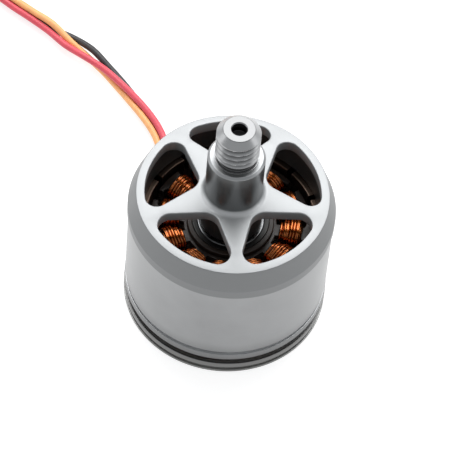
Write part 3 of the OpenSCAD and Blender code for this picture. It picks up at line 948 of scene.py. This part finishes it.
def add_bell():
    bm = bmesh.new()
    walls = [wall(bm, divided(window_outline(k), 0.0004), PLATE_Z, TOP_Z, WINDOW_EDGE / 2,
                  WINDOW_EDGE) for k in range(SPOKE_COUNT)]
    for vert in bm.verts:
        edge_r = TOP_R if vert.co.z > (PLATE_Z + TOP_Z) / 2 else CAVITY_R
        vert.co.z += lift(vert.co.xy.length, edge_r)
    first_r = TOP_R - 0.0002
    rim = rounded([
        (first_r, TOP_Z + lift(first_r, TOP_R)), (TOP_R, TOP_Z, 0.00012),
        (BELL_R, BEVEL_Z, 0.00025), (BELL_R, LIP_Z, 0.00008), (RING_IN_R, LIP_Z),
        (RING_IN_R, SPIGOT_Z, 0.0001), (CAVITY_R, SPIGOT_Z, 0.0001), (CAVITY_R, PLATE_Z)],
        closed=False, steps=4)
    spoke_z = TOP_Z + PLATE_RISE
    fillet = arc((HUB_R + HUB_FILLET, spoke_z + HUB_FILLET), HUB_FILLET,
                 1.5 * math.pi, math.pi, 8)
    boss = fillet + rounded([
        fillet[-1] + Vector((0, 0.0002)), (HUB_R, HUB_TOP - 0.0003, 0.0001),
        (HUB_R - 0.0003, HUB_TOP, 0.0001), (STUD_R, HUB_TOP), (STUD_R, STUD_LOW),
        (SHAFT_R, STUD_LOW), (SHAFT_R, HUB_UNDER_Z), (HUB_UNDER_R, HUB_UNDER_Z, 0.0002),
        (HUB_UNDER_R, PLATE_Z + PLATE_RISE)], closed=False)
    outer = lathe(bm, rim, 180, closed=False)
    inner = lathe(bm, boss, 96, closed=False)
    fill(bm, [outer[0], inner[0]] + [w[1] for w in walls])
    fill(bm, [outer[-1], inner[-1]] + [w[0] for w in walls])
    piece("bell_shell", bm, "bell_aluminium", "rotor", "bell")


def thread_cut(z, angle, z_low, z_high):
    """Depth of the thread at a height and an angle, running out at both ends."""
    steepness, crest = 1.3, 0.12
    run_out_low, run_out_high = 0.0004, 0.0003
    phase = (z / THREAD_PITCH - angle / TAU) % 1
    groove = min(1.0, max(0.0, steepness * (1 - abs(2 * phase - 1)) - crest))
    fade = min(1.0, max(0.0, (z - z_low) / run_out_low), max(0.0, (z_high - z) / run_out_high))
    return THREAD_DEPTH * groove * fade


def add_stud():
    """Threaded stud: plain shank in the hub, relief neck, helical thread, drilled tip."""
    thread_low = HUB_TOP + NECK_H
    thread_high = STUD_TOP - TIP_CHAMFER
    shank = rounded([
        (0, STUD_LOW), (STUD_R, STUD_LOW, 0.0001), (STUD_R, HUB_TOP, 0.00005),
        (NECK_R, HUB_TOP, 0.0001), (NECK_R, thread_low - 0.0002, 0.00005),
        (STUD_R, thread_low)], closed=False)
    rows_per_turn = 14
    rows = int((thread_high - thread_low) / THREAD_PITCH * rows_per_turn)
    thread = [Vector((STUD_R, thread_low + (thread_high - thread_low) * k / rows))
              for k in range(1, rows + 1)]
    tip = rounded([
        thread[-1], (TIP_FACE_R, STUD_TOP, 0.00012), (TIP_HOLE_R + 0.00012, STUD_TOP, 0.00004),
        (TIP_HOLE_R, STUD_TOP - 0.00015, 0.00004), (TIP_HOLE_R, STUD_TOP - TIP_HOLE_DEPTH),
        (0, STUD_TOP - TIP_HOLE_DEPTH - 0.0005)], closed=False)
    bm = bmesh.new()
    lathe(bm, shank + thread + tip[1:], 96, closed=False)
    for vert in bm.verts:
        z = vert.co.z
        out = outward(vert)
        if thread_low < z < STUD_TOP and out.length > TIP_FACE_R + 0.0002:
            cut = thread_cut(z, math.atan2(out.y, out.x), thread_low, thread_high)
            vert.co -= out.normalized() * cut
    piece("threaded_stud", bm, "stud_aluminium", "rotor", "prop_stud")


def add_ring():
    rim_top = RING_Z + RIM_H
    turned_piece("flux_can", [
        (RING_IN_R, RING_Z, 0.0001), (RING_R, RING_Z, 0.00012), (RING_R, rim_top, 0.0001),
        (GROOVE_R, rim_top, 0.00006), (GROOVE_R, rim_top + GROOVE_H, 0.00006),
        (CAN_R, rim_top + GROOVE_H, 0.0001), (CAN_R, LIP_Z, 0.00006),
        (RING_IN_R, LIP_Z, 0.00006)],
        "flux_steel", "rotor", "flux_ring", steps=180)


def add_magnets():
    z0, z1 = low("rotor_magnets").z, high("rotor_magnets").z
    back_edge = MAGNET_EDGE / 3
    section = rounded([(MAGNET_R, z0, MAGNET_EDGE), (RING_IN_R, z0, back_edge),
                       (RING_IN_R, z1, back_edge), (MAGNET_R, z1, MAGNET_EDGE)])
    bm = bmesh.new()
    for k in range(MAGNET_COUNT):
        lathe(bm, section, 12, TAU * k / MAGNET_COUNT, MAGNET_ARC)
    piece("magnets", bm, "magnet_coat", "rotor", "rotor_magnets")


def add_shaft():
    z0, z1 = low("rotor_shaft").z, high("rotor_shaft").z
    clip_z, clip_top = low("retaining_clip").z, high("retaining_clip").z
    chamfer = 0.0003
    turned_piece("steel_shaft", [
        (0, z0 + chamfer), (0.0004, z0, 0.00005), (SHAFT_R - chamfer, z0, 0.00008),
        (SHAFT_R, z0 + chamfer, 0.00008), (SHAFT_R, clip_z, 0.00003), (CLIP_GROOVE_R, clip_z),
        (CLIP_GROOVE_R, clip_top), (SHAFT_R, clip_top, 0.00003), (SHAFT_R, z1), (0, z1)],
        "shaft_steel", "rotor", "rotor_shaft", steps=72)
    for name, node, slot in (("spacer_sleeve", "shaft_spacer", "spacer_brass"),
                             ("shim", "shim_washer", "shaft_steel")):
        section = rectangle(SHAFT_R, low(node).z, high(node).x, high(node).z, 0.00006)
        turned_piece(name, section, slot, "rotor", node, steps=72)


def add_clip():
    """Snap ring: an open ring with three pads that sit in the shaft's groove."""
    z0, z1 = low("retaining_clip").z, high("retaining_clip").z
    inner = SHAFT_R + 0.00025
    half_gap = math.radians(30)
    start = math.pi / 2 + half_gap
    sweep = TAU - 2 * half_gap
    # Middles and half width of the pads, as shares of the ring
    pad_middles, pad_half_w = (0.04, 0.5, 0.96), 0.06
    outline = arc((0, 0), high("retaining_clip").x, start, start + sweep, 60)
    inside = []
    steps = 72
    for k in range(steps + 1):
        on_pad = min(abs(k / steps - middle) for middle in pad_middles) < pad_half_w
        inside.append(polar(CLIP_GROOVE_R if on_pad else inner, start + sweep * k / steps))
    bm = bmesh.new()
    plate(bm, outline + inside[::-1], [], z0, z1, 0.00006)
    piece("snap_ring", bm, "spring_steel", "rotor", "retaining_clip")


# ---- bearings ----

def add_bearing(where):
    outer, inner = f"{where}_bearing_outer_race", f"{where}_bearing_inner_race"
    z0, z1 = low(outer).z, high(outer).z
    # Radii of the shields' seat, of the two races' inner sides and of the inner race's ends
    step, gap_out, gap_in, land = 0.00395, 0.00375, 0.00275, 0.0026
    room = 0.0003
    edge = 0.00012
    sheet = 0.0002
    turned_piece(f"{where}_outer_ring", [
        (step, z0, 0.00005), (BEARING_R, z0, edge), (BEARING_R, z1, edge), (step, z1, 0.00005),
        (step, z1 - room), (gap_out, z1 - room), (gap_out, z0 + room), (step, z0 + room)],
        "bearing_steel", "stator", outer)
    turned_piece(f"{where}_inner_ring", [
        (SHAFT_R, z0, edge), (land, z0, 0.00006), (land, z0 + room), (gap_in, z0 + room + 0.0002),
        (gap_in, z1 - room - 0.0002), (land, z1 - room), (land, z1, 0.00006), (SHAFT_R, z1, edge)],
        "bearing_steel", "rotor", inner)
    bm = bmesh.new()
    for foot, side in ((z0 + 0.0001, 1), (z1 - 0.0001, -1)):
        # A stamped disc with a shallow step near its outer edge
        dish = 0.00004
        steps = [(0.00285, dish), (0.0033, dish), (0.0034, 0), (step, 0)]
        face = [(r, foot + side * d, 0.00003) for r, d in steps]
        back = [(r, foot + side * (sheet - dish + d / 2), 0.00003) for r, d in reversed(steps)]
        lathe(bm, rounded(face + back), 96)
    piece(f"{where}_dust_shields", bm, "shield_steel", "stator", f"{where}_bearing_shields")


# ---- stator ----

def tooth_outline():
    """Yoke, teeth and shoes seen from above."""
    shoe_in = STATOR_R - SHOE_T
    half = TOOTH_HALF_W
    fillet = 0.0006
    shoe_edge = 0.00025
    tip = math.pi / TOOTH_COUNT - math.asin(SLOT_HALF_MOUTH / STATOR_R)
    foot = math.asin(half / YOKE_R)
    neck_x = shoe_in * math.cos(math.asin((half + fillet) / shoe_in))
    side = [polar(YOKE_R, -foot), Vector((neck_x - fillet, -half)),
            Vector((neck_x - 0.0002, -half - 0.00012)), Vector((neck_x, -half - fillet)),
            polar(shoe_in, -tip), polar(shoe_in + shoe_edge, -tip)]
    tooth = side + arc((0, 0), STATOR_R, -tip, tip, 10)
    tooth += [Vector((p.x, -p.y)) for p in reversed(side)]
    tooth += arc((0, 0), YOKE_R, foot, TAU / TOOTH_COUNT - foot, 6)[1:-1]
    outline = []
    for k in range(TOOTH_COUNT):
        turn = Matrix.Rotation(TOOTH_ANGLE + TAU * k / TOOTH_COUNT, 2)
        outline += [turn @ p for p in tooth]
    return anticlockwise(outline)


def circle(r, steps=96):
    return [polar(r, TAU * k / steps) for k in range(steps)]


def add_stator_core():
    """Stack of laminations, each a little proud of the varnish between them."""
    sheets = 20
    pitch = (STACK_TOP - STACK_Z) / sheets
    proud = 0.00003
    rows = []
    for k in range(sheets):
        z = STACK_Z + k * pitch
        rows += [(0, z), (0, z + pitch * 0.84),
                 (proud, z + pitch * 0.88), (proud, z + pitch * 0.96)]
    # The last sheet has no groove after it
    rows[-2:] = [(0, STACK_TOP)]
    bm = bmesh.new()
    stacks = [stacked(bm, shape, rows) for shape in (tooth_outline(), clockwise(circle(TUBE_R)))]
    fill(bm, [loops[0] for loops in stacks])
    fill(bm, [loops[-1] for loops in stacks])
    piece("lamination_stack", bm, "lamination_steel", "stator", "stator_core", sharp=30)


def add_insulator(name, node, z0, z1, collar_top=None):
    """End plate of the stator, with a collar round the bearing tube if it has a top."""
    bm = bmesh.new()
    plate(bm, tooth_outline(), [circle(TUBE_R)], z0, z1, 0.00012)
    if collar_top:
        collar_r, collar_z = TUBE_R + 0.0007, z1 - 0.0001
        lathe(bm, rounded([(TUBE_R, collar_z), (collar_r, collar_z),
                           (collar_r, collar_top, 0.0002), (TUBE_R, collar_top, 0.0001)]))
    piece(name, bm, "insulator_nylon", "stator", node)


def coil_turn(half_w, x, x_next, crown, steps=9):
    """One turn of wire round a tooth that points along +X: under it, up one side, over it."""
    clearance = 0.0001
    # Powers under 1 square the half circles off
    across_power, crown_power = 0.85, 0.9
    shape = []
    for middle, sign in ((STACK_Z - clearance, -1), (STACK_TOP + clearance, 1)):
        for k in range(steps + 1):
            a = math.pi * k / steps
            y = half_w * math.copysign(abs(math.cos(a)) ** across_power, math.cos(a))
            z = middle + sign * crown * abs(math.sin(a)) ** crown_power
            shape.append((-sign * y, z))
    count = len(shape)
    return [Vector((x + (x_next - x) * i / count, y, z)) for i, (y, z) in enumerate(shape)]


def coil_path():
    """Three layers of turns: out along the tooth, back, and a part layer near the shoe."""
    # A turn moves this share of the way to the next one
    advance = 0.8
    stops = [(half_w, x + way * WIRE_PITCH * k, crown)
             for half_w, x, way, turns, crown in WIRE_LAYERS for k in range(turns)]
    path = []
    for (half_w, x, crown), after in zip(stops, stops[1:] + stops[-1:]):
        path += coil_turn(half_w, x, x + (after[1] - x) * advance, crown)
    return path


def add_coils(name, first, node):
    """A phase: two neighbouring coils, the two across from them, and the wires that join them."""
    turns = coil_path()
    sides = 6
    bm = bmesh.new()
    for k in (first, first + 1, first + 6, first + 7):
        turn = Matrix.Rotation(TOOTH_ANGLE + TAU * k / TOOTH_COUNT, 4, "Z")
        tube(bm, [turn @ p for p in turns], WIRE_R, sides)
    # The crossover runs round the bearing tube's seat, under the yoke, past five teeth
    z = 0.0024 + 0.00042 * (first // 2)
    start = TOOTH_ANGLE + TAU * (first + 1) / TOOTH_COUNT
    end = start + TAU * 5 / TOOTH_COUNT
    arch = [Vector((*p, z)) for p in arc((0, 0), 0.00625, start, end, 24)]
    ends = [point + Vector((*polar(0.0012, angle), 0.0008))
            for point, angle in ((arch[0], start), (arch[-1], end))]
    tube(bm, smooth_path([ends[0], *arch, ends[1]], 2), WIRE_R, sides)
    piece(name, bm, "enamelled_copper", "stator", node, sharp=60)


def add_sleeve(name, node, matrix, r, length, wires):
    """Shrunk sleeve along +Z over a joint, with bare wire ends coming out of it."""
    end = [(0, 0), (r * 0.6, 0, 0.0001), (r * 0.72, 0.0003, 0.0003), (r, 0.0008, 0.0004)]
    profile = end + [(x, length - z, *radius) for x, z, *radius in reversed(end)]
    bm = bmesh.new()
    lathe(bm, rounded(profile, steps=4), 32)
    moved(bm, matrix)
    piece(name, bm, "black_shrink", "stator", node)
    bm = bmesh.new()
    for path in wires:
        tube(bm, smooth_path(path, 5), WIRE_R, 8)
    piece(f"{name}_wires", bm, "enamelled_copper", "stator")


def add_lead_joint(colour):
    """Sleeve where a lead meets its winding, with a wire that turns up to the coils."""
    start, after = beside_route(LEAD_ROUTE, LEAD_ANGLE[colour], LEAD_OFFSET[colour])[:2]
    heading = (after - start).normalized()
    flat = Vector((heading.x, heading.y, 0)).normalized()
    back = start - flat * JOINT_L
    matrix = Matrix.Translation(back) @ flat.to_track_quat("Z", "Y").to_matrix().to_4x4()
    # The wire's points as (along the sleeve, up)
    bend = [(0.0003, 0), (-0.0003, 0.0001), (-0.0001, 0.0009), (0.0009, 0.0016),
            (0.0015, 0.0024)]
    wire = [back + flat * along + Vector((0, 0, up)) for along, up in bend]
    add_sleeve(f"{colour}_solder_sleeve", f"{colour}_lead_joint", matrix, JOINT_R, JOINT_L, [wire])


def add_star_joint():
    """Sleeve where the three phases meet, across a spoke of the stator at STAR_ANGLE."""
    x, y, z = 0.0088, 0.0016, 0.0012
    turn = Matrix.Rotation(STAR_ANGLE, 4, "Z")
    matrix = turn @ Matrix.Translation((x, -y, z)) @ Matrix.Rotation(-math.pi / 2, 4, "X")
    start = y - 0.0002
    wires = []
    for k in range(3):
        path = [(x, start, z), (x - 0.0003 * k, start + 0.0006, z + 0.0002 * k),
                (0.0086 - 0.0006 * k, start + 0.0009, 0.0019),
                (0.0084 - 0.0006 * k, start + 0.0006, 0.0030)]
        wires.append([turn @ Vector(p) for p in path])
    add_sleeve("star_sleeve", "star_point_joint", matrix, 0.0009, 2 * y, wires)


# ---- base ----

def cutter(bm, outline, z_low, z_high, chamfer):
    """A prism that leaves chamfered rims where it cuts through a plate from z_low to z_high."""
    spare = 0.0004
    loops = stacked(bm, clockwise(outline), [
        (chamfer + spare, z_low - spare), (0, z_low + chamfer), (0, z_high - chamfer),
        (chamfer + spare, z_high + spare)])
    bm.faces.new(loops[0])
    bm.faces.new(loops[-1])


def base_window(k):
    """A window between two arms, with rounded corners."""
    corner = 0.0005
    quarter = math.pi / 2
    r0, r1 = BASE_WINDOW_R
    a0, a1 = math.asin(ARM_HALF_W / r0), math.asin(ARM_HALF_W / r1)
    corners = []
    for side in (arc((0, 0), r0, quarter - a0, a0, 20), arc((0, 0), r1, a1, quarter - a1, 32)):
        corners += [(*side[0], corner), *side[1:-1], (*side[-1], corner)]
    turn = Matrix.Rotation(quarter * k, 2)
    return [turn @ p for p in rounded(corners)]


def solid(name, bm):
    """A scratch object for a Boolean."""
    clean(bm)
    return mesh_object(name, bm)


def tapped_hole(bm, place):
    """The space in a tapped hole: a fine thread with a countersink at each end."""
    rows = 44
    steps = 40
    spare = 0.0003
    countersink = 0.0003
    rings = []
    for i in range(rows + 1):
        z = (BASE_H + 2 * spare) * i / rows - spare
        flare = max(0.0, countersink - z, z - BASE_H + countersink)
        ring = []
        for k in range(steps):
            phase = (z / HOLE_PITCH - k / steps) % 1
            r = HOLE_R + HOLE_THREAD_DEPTH * (1 - abs(2 * phase - 1)) + flare
            ring.append((*(Vector(place) + polar(r, TAU * k / steps)), z))
        rings.append(loop(bm, ring))
    skin_rows(bm, rings)
    bm.faces.new(rings[0])
    bm.faces.new(rings[-1])


def base_profile():
    """Section of the base plate and its bearing tube."""
    foot, groove_top = BASE_GROOVE_Z
    seat_z = STACK_Z - INSULATOR_T
    land_low, land_high = BASE_H + BEARING_W, BASE_TOP - BEARING_W
    return rounded([
        (BEARING_R, 0, 0.0001), (BASE_R, 0, 0.00015), (BASE_R, foot, 0.00008), (GROOVE_R, foot),
        (GROOVE_R, groove_top), (BASE_R, groove_top, 0.0001), (BASE_R, BASE_H, 0.0001),
        (SEAT_R, BASE_H), (SEAT_R, seat_z, 0.0001), (TUBE_R, seat_z), (TUBE_R, BASE_TOP, 0.0001),
        (BEARING_R, BASE_TOP, 0.0001), (BEARING_R, land_high), (LAND_R, land_high),
        (LAND_R, land_low), (BEARING_R, land_low)])


def base_cuts():
    """The windows and the tapped holes of the base."""
    bm = bmesh.new()
    for k in range(4):
        cutter(bm, base_window(k), 0, BASE_H, 0.0001)
    for place in HOLE_PLACES:
        tapped_hole(bm, place)
    return solid("base_cuts", bm)


def base_notch():
    """The notch that the leads leave through."""
    bm = bmesh.new()
    outline = rounded(rectangle(NOTCH_X[0], -NOTCH_HALF_W, NOTCH_X[1], NOTCH_HALF_W))
    for row in wall(bm, outline, *NOTCH_Z, 0.00001, 0.00001, 1):
        fill(bm, [row])
    moved(bm, Matrix.Rotation(EXIT_ANGLE, 4, "Z"))
    return solid("base_notch", bm)


def add_base():
    """Base plate with its bearing tube, four arms, tapped holes and the notch for the leads."""
    bm = bmesh.new()
    lathe(bm, base_profile(), 180)
    body = solid("base_plate", bm)
    tools = [base_cuts(), base_notch()]
    for tool in tools:
        cut = body.modifiers.new("cut", "BOOLEAN")
        cut.operation = "DIFFERENCE"
        cut.solver = "EXACT"
        cut.object = tool
    bpy.context.view_layer.update()
    shape = body.evaluated_get(bpy.context.evaluated_depsgraph_get())
    bm = bmesh.new()
    bm.from_mesh(shape.to_mesh())
    shape.to_mesh_clear()
    for scratch in (body, *tools):
        bpy.data.objects.remove(scratch)
    piece("base_plate", bm, "base_aluminium", "stator", "base", sharp=25)


def add_grommet():
    """Soft block in the notch."""
    bm = bmesh.new()
    corners = rectangle(GROMMET_X[0], -GROMMET_HALF_W, GROMMET_X[1], GROMMET_HALF_W, 0.0002)
    plate(bm, rounded(corners, steps=4), [], *GROMMET_Z, 0.00015)
    moved(bm, Matrix.Rotation(EXIT_ANGLE, 4, "Z"))
    piece("lead_exit_block", bm, "grommet_rubber", "stator", "lead_grommet")


# ---- carried-over nodes and the studio ----

def paint_cad_nodes():
    """CAD nodes that stay: the hidden balls and cages of the bearings."""
    for where in ("upper", "lower"):
        for part, slot in (("balls", "ball_steel"), ("cage", "cage_brass")):
            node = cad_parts[f"{where}_bearing_{part}"]
            for material_slot in node.material_slots:
                material_slot.material = MATERIALS[slot]


def add_softbox(name, place, size, brightness):
    """A rectangular light of a given radiance that faces SOFTBOX_AIM."""
    data = bpy.data.lights.new(name, "AREA")
    data.shape = "RECTANGLE"
    data.size, data.size_y = size
    data.energy = brightness * math.pi * size[0] * size[1]
    light = new_object(name, data)
    light.location = place
    light.rotation_mode = "QUATERNION"
    light.rotation_quaternion = (SOFTBOX_AIM - Vector(place)).to_track_quat("-Z", "Y")


def add_floor():
    bm = bmesh.new()
    corners = rectangle(-FLOOR_HALF, -FLOOR_HALF, FLOOR_HALF, FLOOR_HALF, FLOOR_Z)
    bm.faces.new(loop(bm, corners))
    floor = mesh_object("floor", bm)
    paint = Paint("floor", FLOOR_COLOUR, 0.0, 0.9)
    paint.set(Emission_Color=(1, 1, 1, 1), Emission_Strength=FLOOR_GLOW)
    floor.data.materials.append(paint.material)


def add_studio():
    scene = bpy.context.scene
    scene.view_settings.view_transform = "Standard"
    world = bpy.data.worlds.new("studio")
    world.use_nodes = True
    scene.world = world
    back = world.node_tree.nodes["Background"]
    back.inputs["Color"].default_value = ROOM_COLOUR
    back.inputs["Strength"].default_value = ROOM_LIGHT
    for softbox in SOFTBOXES:
        add_softbox(*softbox)
    add_floor()


# ---- the scene ----

MATERIALS = make_materials()
add_camera()
add_leads()
add_bell()
add_stud()
add_ring()
add_magnets()
add_shaft()
add_clip()
add_bearing("upper")
add_bearing("lower")
add_stator_core()
add_insulator("upper_end_plate", "upper_insulator", STACK_TOP, STACK_TOP + INSULATOR_T,
              COLLAR_TOP)
add_insulator("lower_end_plate", "lower_insulator", STACK_Z - INSULATOR_T, STACK_Z)
for phase, first_tooth in (("a", 0), ("b", 2), ("c", 4)):
    add_coils(f"phase_{phase}_winding", first_tooth, f"phase_{phase}_coils")
for lead_colour in COLOURS:
    add_lead_joint(lead_colour)
add_star_joint()
add_base()
add_grommet()
paint_cad_nodes()
add_studio()
